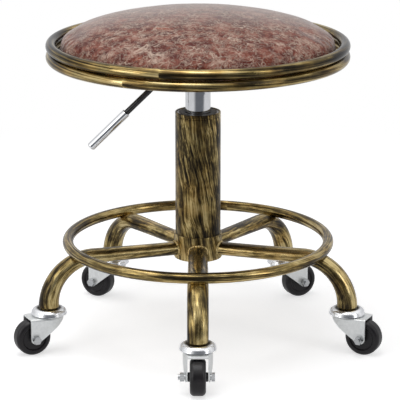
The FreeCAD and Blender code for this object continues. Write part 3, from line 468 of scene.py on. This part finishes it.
def steelLook(pieces, dull, pale, roughness):
    return {
        "pieces": pieces,
        "sockets": {"Metallic": 1.0},
        "stretch": (30.0, 30.0, 1500.0),
        "tone": (1.0, 3.0),
        "colours": ((0.3, dull), (0.7, pale)),
        "roughness": roughness,
        "bump": (0.08, 0.0002),
    }


def coatLook(pieces, roughness, peelScale):
    return {
        "pieces": pieces,
        "sockets": {"Coat Weight": 0.1, "Coat Roughness": 0.3},
        "tone": (30.0, 5.0),
        "colours": ((0.35, (0.010, 0.010, 0.011)), (0.8, (0.030, 0.030, 0.031))),
        "roughness": roughness,
        "grain": (peelScale, 2.0),
        "bump": (0.25, 0.0004),
    }


finishLook = {
    "polishedChrome": {
        "pieces": ["gas_tube", "lever_grip"],
        "sockets": {"Metallic": 1.0},
        "tone": (70.0, 4.0),
        "colours": ((0.3, (0.74, 0.75, 0.77)), (0.7, (0.86, 0.87, 0.89))),
        "roughness": (0.05, 0.16),
        "grain": (160.0, 2.0),
        "bump": (0.03, 0.0005),
    },
    "zincPlate": {
        "pieces": ["seat_screws", "rod_clip", "lever_pivot_pin", "caster_stems", *casterPieces("fork")],
        "sockets": {"Metallic": 0.55},
        "tone": (240.0, 5.0, 0.65),
        "colours": ((0.3, (0.82, 0.84, 0.84)), (0.7, (0.95, 0.97, 0.97))),
        "shine": (40.0, 2.0),
        "roughness": (0.24, 0.40),
        "bump": (0.10, 0.0002),
    },
    "groundSteel": steelLook(
        [
            "piston_rod", "bearing_lower_race", "bearing_upper_race", "bearing_balls",
            *casterPieces("balls"),
        ],
        (0.50, 0.51, 0.53), (0.625, 0.6375, 0.6625), (0.14, 0.29),
    ),
    "drawnSteel": steelLook(
        ["lift_sleeve"], (0.34, 0.35, 0.37), (0.425, 0.4375, 0.4625), (0.26, 0.41),
    ),
    "platedBolt": steelLook(
        casterPieces("axle"), (0.46, 0.47, 0.48), (0.575, 0.5875, 0.60), (0.20, 0.35),
    ),
    "powderCoat": coatLook(
        ["taper_socket", "mount_pan", "seat_spider", "lever_bracket"], (0.42, 0.56), 1600.0,
    ),
    "blackEnamel": coatLook(["lever_rod"], (0.12, 0.26), 300.0),
    "darkNylon": {
        "pieces": ["guide_bush", "rod_seal_guide", "piston_head", "release_pin"],
        "sockets": {},
        "tone": (120.0, 4.0),
        "colours": ((0.3, (0.028, 0.028, 0.031)), (0.7, (0.050, 0.050, 0.054))),
        "roughness": (0.38, 0.55),
        "grain": (1400.0, 2.0),
        "bump": (0.08, 0.0003),
    },
    "blackTread": {
        "pieces": casterPieces("wheel"),
        "sockets": {"Specular IOR Level": 0.38},
        "tone": (85.0, 5.0, 0.6),
        "colours": (
            (0.25, (0.006, 0.005, 0.006)),
            (0.6, (0.010, 0.008, 0.010)),
            (0.9, (0.026, 0.023, 0.025)),
        ),
        "roughness": (0.26, 0.44),
        "grain": (1300.0, 2.0),
        "bump": (0.12, 0.0003),
    },
}


def makeFinish(name):
    look = finishLook[name]
    material, tree, shader = newMaterial(name, look["sockets"])
    place = objectPlace(tree)
    if "stretch" in look:
        place = stretch(tree, place, look["stretch"])
    tone = noise(tree, place, *look["tone"])
    shine = noise(tree, place, *look["shine"]) if "shine" in look else tone
    grain = noise(tree, place, *look["grain"]) if "grain" in look else tone
    colour = ramp(tree, tone, *look["colours"])
    roughness = span(tree, shine, *look["roughness"])
    setFinish(tree, shader, colour, roughness, bump(tree, grain, *look["bump"]))
    return material


# Caster cups: chrome, with painted shade and a painted brown reflection of the leg in the hollow round
# the leg's tip

cupLook = {
    "hollow": (0.0135, 0.0165),
    "hollowShadeAndReflection": (0.060, 0.052, 0.036),
    "film": (90.0, 4.0),
    "plate": ((0.3, (0.80, 0.81, 0.83)), (0.7, (0.92, 0.93, 0.95))),
    "roughness": (0.42, 0.25),
    "bump": (0.04, 0.0005),
}


def makeCupChrome():
    material, tree, shader = newMaterial("cupChrome", {"Metallic": 1.0})
    _, out, side, _ = legPlace(tree)
    reach = distance(tree, minus(tree, out, legReach()), side)
    # Dark brown in the hollow round the leg's tip: painted shade and a painted reflection of the brass
    # leg
    pastHollow = fade(tree, reach, *cupLook["hollow"])
    film = noise(tree, objectPlace(tree), *cupLook["film"])
    colour = mixColours(tree, pastHollow, cupLook["hollowShadeAndReflection"], ramp(tree, film, *cupLook["plate"]))
    roughness = span(tree, pastHollow, *cupLook["roughness"])
    setFinish(tree, shader, colour, roughness, bump(tree, film, *cupLook["bump"]))
    return material


# Seat board

plyLook = {
    "grainStretch": (9.0, 160.0, 160.0),
    "grainNoise": (1.0, 5.0, 0.6, 0.6),
    "cloudNoise": (14.0, 3.0),
    "grain": ((0.25, (0.30, 0.19, 0.10)), (0.55, (0.47, 0.33, 0.19)), (0.8, (0.58, 0.43, 0.27))),
    "cloud": ((0.3, (0.36, 0.24, 0.13)), (0.7, (0.60, 0.45, 0.28))),
    "cloudShare": 0.35,
    "roughness": (0.55, 0.75),
    "bump": (0.15, 0.0006),
}


def makePlywood():
    material, tree, shader = newMaterial("birchPly", {})
    place = objectPlace(tree)
    grain = noise(tree, stretch(tree, place, plyLook["grainStretch"]), *plyLook["grainNoise"])
    wood = ramp(tree, grain, *plyLook["grain"])
    cloud = ramp(tree, noise(tree, place, *plyLook["cloudNoise"]), *plyLook["cloud"])
    colour = mixColours(tree, plyLook["cloudShare"], wood, cloud)
    roughness = span(tree, grain, *plyLook["roughness"])
    setFinish(tree, shader, colour, roughness, bump(tree, grain, *plyLook["bump"]))
    return material


def dressRest():
    for name, look in finishLook.items():
        dress(makeFinish(name), *look["pieces"])
    dress(makeCupChrome(), *casterPieces("cup"))
    dress(makePlywood(), "seat_board")
    print("metals, nylon, rubber and wood dressed")


# Distressed leather: pale cracks and folds on a dark red skin

leatherLook = {
    "sockets": {
        "Specular IOR Level": 0.16,
        "Sheen Weight": 0.03,
        "Sheen Roughness": 0.35,
        "Sheen Tint": (0.9, 0.88, 0.87, 1.0),
    },
    # Scale, width, strength, and the level of a noise from which the line is kept
    "creases": ((56.0, 0.052, 0.95, 0.46), (112.0, 0.075, 1.00, 0.46)),
    "folds": ((42.0, 0.038, 1.00, 0.44), (74.0, 0.044, 1.00, 0.44), (130.0, 0.055, 1.00, 0.44)),
    "foldNoise": (2.5, 0.55, 0.9),
    "keptScale": (0.6, 21.0),
    "keptNoise": (4.0, 0.65),
    "keptFade": 0.15,
    "warp": (0.016, 0.016, 0.016),
    "warpNoise": (48.0, 3.0, 0.6),
    "crackedNoise": (23.0, 3.0),
    "crackedFrom": (0.36, 0.60),
    "smoothWear": 0.60,
    "rimFrom": (0.165, 0.105),
    "rimWear": 0.72,
    "wornNoise": (17.0, 5.0, 0.62),
    "wornShare": 0.30,
    "blushNoise": (64.0, 6.0, 0.72),
    "skin": (
        (0.44, (0.095, 0.013, 0.008)),
        (0.54, (0.225, 0.066, 0.042)),
        (0.66, (0.380, 0.190, 0.145)),
    ),
    "rust": (0.340, 0.070, 0.028),
    "rustNoise": (27.0, 3.0, 0.5, 0.4),
    "rustFrom": (0.65, 0.71),
    "rustShare": 0.80,
    # Pale crest colour: partly the leather's worn pale veins, partly a painted highlight on the raised
    # fold ridges
    "crest": (0.880, 0.690, 0.560),
    "crestShare": 0.92,
    "crestBump": (0.75, 0.0020),
    # Painted sheen: pale colour where the cover is seen at a low angle
    "paintedSheen": (0.680, 0.620, 0.600),
    "paintedSheenFrom": (0.68, 0.94),
    "paintedSheenShare": 0.72,
    "roughness": (0.40, 0.56),
    "grainNoise": (1500.0, 2.0),
    "grainBump": (0.10, 0.0004),
}


def leatherLines(tree, place):
    drift = noise(tree, place, *leatherLook["warpNoise"], colour=True)
    warped = wander(tree, place, drift, leatherLook["warp"])
    share, least = leatherLook["keptScale"]

    def crease(scale):
        edge = addNode(tree, "TexVoronoi", feature="DISTANCE_TO_EDGE")
        feed(tree, edge.inputs["Vector"], warped)
        edge.inputs["Scale"].default_value = scale
        return edge.outputs[0]

    def fold(scale):
        # Along the middle level of a noise
        wave = noise(tree, warped, scale, *leatherLook["foldNoise"])
        return calc(tree, "ABSOLUTE", minus(tree, wave, 0.5))

    crests = 0.0
    for kind, lines in ((crease, leatherLook["creases"]), (fold, leatherLook["folds"])):
        for scale, width, strength, keptFrom in lines:
            line = fade(tree, kind(scale), width, 0.0)
            patches = noise(tree, place, share * scale + least, *leatherLook["keptNoise"])
            kept = fade(tree, patches, keptFrom, keptFrom + leatherLook["keptFade"])
            crests = calc(tree, "MAXIMUM", crests, times(tree, times(tree, line, kept), strength))
    return crests


def makeLeather():
    material, tree, shader = newMaterial("distressedLeather", leatherLook["sockets"])
    place = objectPlace(tree)
    crests = leatherLines(tree, place)
    # Smoother patches between the cracked ones, and a smoother rim
    patches = noise(tree, place, *leatherLook["crackedNoise"])
    cracked = fade(tree, patches, *leatherLook["crackedFrom"])
    crests = times(tree, crests, span(tree, cracked, leatherLook["smoothWear"], 1.0))
    x, y, _ = apart(tree, place)
    crown = fade(tree, distance(tree, x, y), *leatherLook["rimFrom"])
    crests = times(tree, crests, span(tree, crown, leatherLook["rimWear"], 1.0))
    worn = minus(tree, noise(tree, place, *leatherLook["wornNoise"]), 0.5)
    blush = noise(tree, place, *leatherLook["blushNoise"])
    tone = plus(tree, blush, times(tree, worn, leatherLook["wornShare"]))
    skin = ramp(tree, tone, *leatherLook["skin"])
    rust = fade(tree, noise(tree, place, *leatherLook["rustNoise"]), *leatherLook["rustFrom"])
    # Painted sheen: a pale wash where the cover is seen at a low angle, standing in for the reflection
    # of the bright backdrop
    facing = addNode(tree, "LayerWeight").outputs["Facing"]
    paintedSheen = fade(tree, facing, *leatherLook["paintedSheenFrom"])
    for layer, name in ((rust, "rust"), (crests, "crest"), (paintedSheen, "paintedSheen")):
        share = times(tree, layer, leatherLook[name + "Share"])
        skin = mixColours(tree, share, skin, leatherLook[name])
    grain = noise(tree, place, *leatherLook["grainNoise"])
    grainNormal = bump(tree, grain, *leatherLook["grainBump"])
    normal = bump(tree, crests, *leatherLook["crestBump"], grainNormal)
    setFinish(tree, shader, skin, span(tree, tone, *leatherLook["roughness"]), normal)
    return material


# Cushion: a foam pad swollen under its leather cover

cushionLook = {
    "spinSteps": 96,
    "mergeWithin": 0.0003,
    "drawIn": 0.0014,
    "hem": 0.004,
    "crownFrom": 0.001,  # over the board, where the pad's upper side begins
    "skirtRise": 0.0005,  # over the board, up to where the cover is held
    "startScale": 0.985,
    "voxel": 0.0045,
    "clothQuality": 5,
    "clothMass": 0.3,
    "stiffness": 25.0,
    "bending": 4.0,
    "pressure": 4.0,
    "frames": 20,
    "cap": 0.005,
    "tautFactor": 0.5,
    "tautPasses": 30,
    "puckers": 74,
    "puckerDrift": (1.9, 7),
    "puckerDepth": 0.00035,
    "puckerRise": 0.011,  # over the board
    "puckerSpread": 0.012,
    "puckerFrom": 0.15,
    "recessGap": 0.0002,
    "recessSides": 192,
    "recessBelow": 0.02,
    "smoothAngle": 40.0,
}


def boardTop():
    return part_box("seat_board")[1].z


def skirtTop():
    return boardTop() + cushionLook["skirtRise"]


def cushionOutline():
    # Upper side of the CAD pad from the crown to the widest point, then down to the hem and back in
    low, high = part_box("seat_cushion")
    rings = {}
    for vertex in nodes["seat_cushion"].data.vertices:
        reach = round(math.hypot(vertex.co.x, vertex.co.y), 4)
        rings[reach] = max(rings.get(reach, 0.0), vertex.co.z)
    lowest = boardTop() + cushionLook["crownFrom"]
    upper = [(reach, height) for reach, height in sorted(rings.items()) if height > lowest]
    waist = high.x - cushionLook["drawIn"]
    return upper + [(waist, low.z + cushionLook["hem"]), (waist, low.z), (0.0, low.z)]


def startPad():
    points = cushionOutline()
    corners = [(x, 0.0, z) for x, z in points]
    edges = [(number, number + 1) for number in range(len(points) - 1)]
    outline = bpy.data.meshes.new("leatherCushion")
    outline.from_pydata(corners, edges, [])
    pad = bpy.data.objects.new("leatherCushion", outline)
    scene.collection.objects.link(pad)
    pickOnly(pad)
    bpy.ops.object.mode_set(mode="EDIT")
    bpy.ops.mesh.select_all(action="SELECT")
    bpy.ops.mesh.spin(
        steps=cushionLook["spinSteps"], angle=2 * math.pi, center=(0, 0, 0), axis=(0, 0, 1),
    )
    bpy.ops.mesh.select_all(action="SELECT")
    bpy.ops.mesh.remove_doubles(threshold=cushionLook["mergeWithin"])
    bpy.ops.mesh.normals_make_consistent(inside=False)
    bpy.ops.object.mode_set(mode="OBJECT")
    return pad


def scaleCrown(pad, factor):
    skirt = skirtTop()
    for vertex in pad.data.vertices:
        if vertex.co.z > skirt:
            vertex.co.z = skirt + (vertex.co.z - skirt) * factor


def groupPart(pad, name, inPart):
    group = pad.vertex_groups.new(name=name)
    group.add([v.index for v in pad.data.vertices if inPart(v.co.z)], 1.0, "REPLACE")


def runCloth(pad):
    cloth = pad.modifiers.new("cover", "CLOTH")
    settings = cloth.settings
    settings.quality = cushionLook["clothQuality"]
    settings.mass = cushionLook["clothMass"]
    settings.tension_stiffness = cushionLook["stiffness"]
    settings.compression_stiffness = cushionLook["stiffness"]
    settings.bending_stiffness = cushionLook["bending"]
    settings.use_pressure = True
    settings.uniform_pressure_force = cushionLook["pressure"]
    settings.vertex_group_mass = "held"
    settings.effector_weights.gravity = 0.0
    for number in range(1, cushionLook["frames"] + 1):
        scene.frame_set(number)
    applyAll(pad)
    scene.frame_set(1)


def swell(pad):
    skirt = skirtTop()
    scaleCrown(pad, cushionLook["startScale"])
    remesh = pad.modifiers.new("even", "REMESH")
    remesh.mode = "VOXEL"
    remesh.voxel_size = cushionLook["voxel"]
    applyAll(pad)
    groupPart(pad, "held", lambda height: height < skirt)
    before = [v.co.copy() for v in pad.data.vertices]
    runCloth(pad)
    for vertex, start in zip(pad.data.vertices, before):
        move = vertex.co - start
        if move.length > cushionLook["cap"]:
            vertex.co = start + move.normalized() * cushionLook["cap"]
    # The cover is drawn taut, so the folds that the cloth run leaves go
    groupPart(pad, "free", lambda height: height > skirt)
    taut = pad.modifiers.new("taut", "SMOOTH")
    taut.factor = cushionLook["tautFactor"]
    taut.iterations = cushionLook["tautPasses"]
    taut.vertex_group = "free"
    applyAll(pad)
    top = max(v.co.z for v in pad.data.vertices)
    lift = (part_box("seat_cushion")[1].z - skirt) / (top - skirt)
    scaleCrown(pad, lift)
    print("cushion swollen, crown factor", round(lift, 4))


def soften(pad):
    smooth = pad.modifiers.new("soft", "SUBSURF")
    smooth.levels = 1
    smooth.render_levels = 1
    applyAll(pad)


def pucker(pad):
    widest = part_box("seat_cushion")[1].x
    drift, groups = cushionLook["puckerDrift"]
    middle = boardTop() + cushionLook["puckerRise"]
    for vertex in pad.data.vertices:
        reach = math.hypot(vertex.co.x, vertex.co.y)
        if reach < cushionLook["puckerFrom"]:
            continue
        angle = math.atan2(vertex.co.y, vertex.co.x)
        near = max(0.0, 1.0 - abs(vertex.co.z - middle) / cushionLook["puckerSpread"])
        ripple = math.sin(cushionLook["puckers"] * angle + drift * math.sin(groups * angle)) * near
        scale = (min(reach, widest) + ripple * cushionLook["puckerDepth"]) / reach
        vertex.co.x *= scale
        vertex.co.y *= scale


def cutBoardRecess(pad):
    low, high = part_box("seat_board")
    gap = cushionLook["recessGap"]
    depth = high.z - low.z + cushionLook["recessBelow"]
    bpy.ops.object.select_all(action="DESELECT")
    bpy.ops.mesh.primitive_cylinder_add(
        vertices=cushionLook["recessSides"], radius=high.x + gap, depth=depth,
        location=(0, 0, high.z + gap - depth / 2),
    )
    cutter = bpy.context.object
    recess = pad.modifiers.new("boardRecess", "BOOLEAN")
    recess.operation = "DIFFERENCE"
    recess.object = cutter
    recess.solver = "EXACT"
    applyAll(pad)
    bpy.data.objects.remove(cutter)


def makeCushion():
    pad = startPad()
    swell(pad)
    soften(pad)
    pucker(pad)
    cutBoardRecess(pad)
    pickOnly(pad)
    bpy.ops.object.shade_smooth_by_angle(angle=math.radians(cushionLook["smoothAngle"]))
    wear(pad, makeLeather())
    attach(pad, "seat")
    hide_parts("seat_cushion")
    print("cushion made:", len(pad.data.polygons), "faces")


# Floor, lights and camera

stageLook = {
    "floorSize": 14.0,
    "floorColour": (0.80, 0.80, 0.81),
    "floorRoughness": 0.9,
    "floorGlow": 0.60,
    "floorDim": 0.38,
    "floorAway": (0.45, 0.85),
    "floorWhite": (0.35, 1.1),
    "worldLevel": 0.30,
    "worldLow": (0.45, 0.70),
    "backDim": (0.66, 0.66, 0.67),
    "backFrom": (0.0, 0.35),
    "darkSide": (0.138, 0.146, 0.160),
    "darkTurn": 20.0,
    "darkHalf": (38.0, 76.0),
}

# Place, aim, size and power
lampLook = {
    "overheadBox": ((-0.3, -0.2, 2.0), (0, 0, 0.2), (1.8, 1.2), 17.0),
    "leftBox": ((-1.7, -1.3, 1.0), (0, 0, 0.25), (0.9, 1.4), 8.0),
    "rightBox": ((1.7, -1.2, 0.9), (0, 0, 0.25), (0.7, 1.4), 6.0),
}

cameraLook = {"lens": 200.7, "sensor": 36.0, "place": (0.0024, -2.582, 0.883), "tilt": 74.59}


def seenDirectly(tree):
    path = addNode(tree, "LightPath")
    glossy = path.outputs["Is Glossy Ray"]
    seen = calc(tree, "MAXIMUM", path.outputs["Is Camera Ray"], glossy)
    return calc(tree, "MAXIMUM", seen, path.outputs["Is Transmission Ray"]), glossy


def darkFront(tree, vector):
    # Share of the dark studio side, in front and a little to the right of the stool
    x, y, _ = apart(tree, turnAboutZ(tree, vector, -math.radians(stageLook["darkTurn"])))
    turn = calc(tree, "ABSOLUTE", calc(tree, "ARCTAN2", x, times(tree, y, -1.0)))
    inner, outer = stageLook["darkHalf"]
    return minus(tree, 1.0, fade(tree, turn, math.radians(inner), math.radians(outer)))


def glowing(tree, colour, strength):
    made = addNode(tree, "Emission")
    made.inputs["Color"].default_value = (*colour, 1.0)
    feed(tree, made.inputs["Strength"], strength)
    return made.outputs[0]


def mixShaders(tree, share, one, other):
    made = addNode(tree, "MixShader")
    for socket, source in zip(made.inputs, (share, one, other)):
        feed(tree, socket, source)
    return made.outputs[0]


def makeFloor():
    bpy.ops.object.select_all(action="DESELECT")
    bpy.ops.mesh.primitive_plane_add(size=stageLook["floorSize"])
    floor = bpy.context.object
    floor.name = "studioFloor"
    material, tree, shader = newMaterial("paleFloor", {
        "Base Color": (*stageLook["floorColour"], 1.0),
        "Roughness": stageLook["floorRoughness"],
        "Specular IOR Level": 0.0,
    })
    white = (1.0, 1.0, 1.0)
    seen, glossy = seenDirectly(tree)
    lit = addNode(tree, "AddShader")
    feed(tree, lit.inputs[0], shader.outputs[0])
    feed(tree, lit.inputs[1], glowing(tree, white, times(tree, seen, stageLook["floorGlow"])))
    # Far from the stool the floor runs out into the white backdrop
    place = objectPlace(tree)
    x, y, _ = apart(tree, place)
    far = times(tree, fade(tree, distance(tree, x, y), *stageLook["floorWhite"]), seen)
    surface = mixShaders(tree, far, lit.outputs[0], glowing(tree, white, seen))
    # In reflections it falls away into the dark side
    away = fade(tree, times(tree, y, -1.0), *stageLook["floorAway"])
    share = times(tree, darkFront(tree, place), away)
    share = times(tree, calc(tree, "MAXIMUM", share, stageLook["floorDim"]), glossy)
    surface = mixShaders(tree, share, surface, glowing(tree, stageLook["darkSide"], 1.0))
    feed(tree, tree.nodes["Material Output"].inputs["Surface"], surface)
    floor.data.materials.append(material)


def makeWorld():
    world = bpy.data.worlds.new("studio")
    scene.world = world
    world.use_nodes = True
    tree = world.node_tree
    back = tree.nodes["Background"]
    seen, glossy = seenDirectly(tree)
    direction = addNode(tree, "TexCoord").outputs["Generated"]
    _, y, z = apart(tree, direction)
    low = times(tree, minus(tree, 1.0, fade(tree, z, *stageLook["worldLow"])), glossy)
    behind = times(tree, fade(tree, y, *stageLook["backFrom"]), low)
    backdrop = mixColours(tree, behind, (1.0, 1.0, 1.0), stageLook["backDim"])
    dark = times(tree, darkFront(tree, direction), low)
    feed(tree, back.inputs["Color"], mixColours(tree, dark, backdrop, stageLook["darkSide"]))
    feed(tree, back.inputs["Strength"], span(tree, seen, stageLook["worldLevel"], 1.0))
    print("floor and backdrop made")


def makeLights():
    for name, (place, aim, size, power) in lampLook.items():
        lamp = bpy.data.lights.new(name, "AREA")
        lamp.shape = "RECTANGLE"
        lamp.size, lamp.size_y = size
        lamp.energy = power
        holder = bpy.data.objects.new(name, lamp)
        scene.collection.objects.link(holder)
        holder.location = place
        holder.rotation_euler = (Vector(aim) - Vector(place)).to_track_quat("-Z", "Y").to_euler()
    print("lights set")


def makeCamera():
    camera = bpy.data.cameras.new("photoCamera")
    camera.lens = cameraLook["lens"]
    camera.sensor_width = cameraLook["sensor"]
    holder = bpy.data.objects.new("photoCamera", camera)
    scene.collection.objects.link(holder)
    holder.location = cameraLook["place"]
    holder.rotation_euler = (math.radians(cameraLook["tilt"]), 0.0, 0.0)
    scene.camera = holder


dressBrass()
dressRest()
makeWelds()
makeCushion()
makeFloor()
makeWorld()
makeLights()
makeCamera()
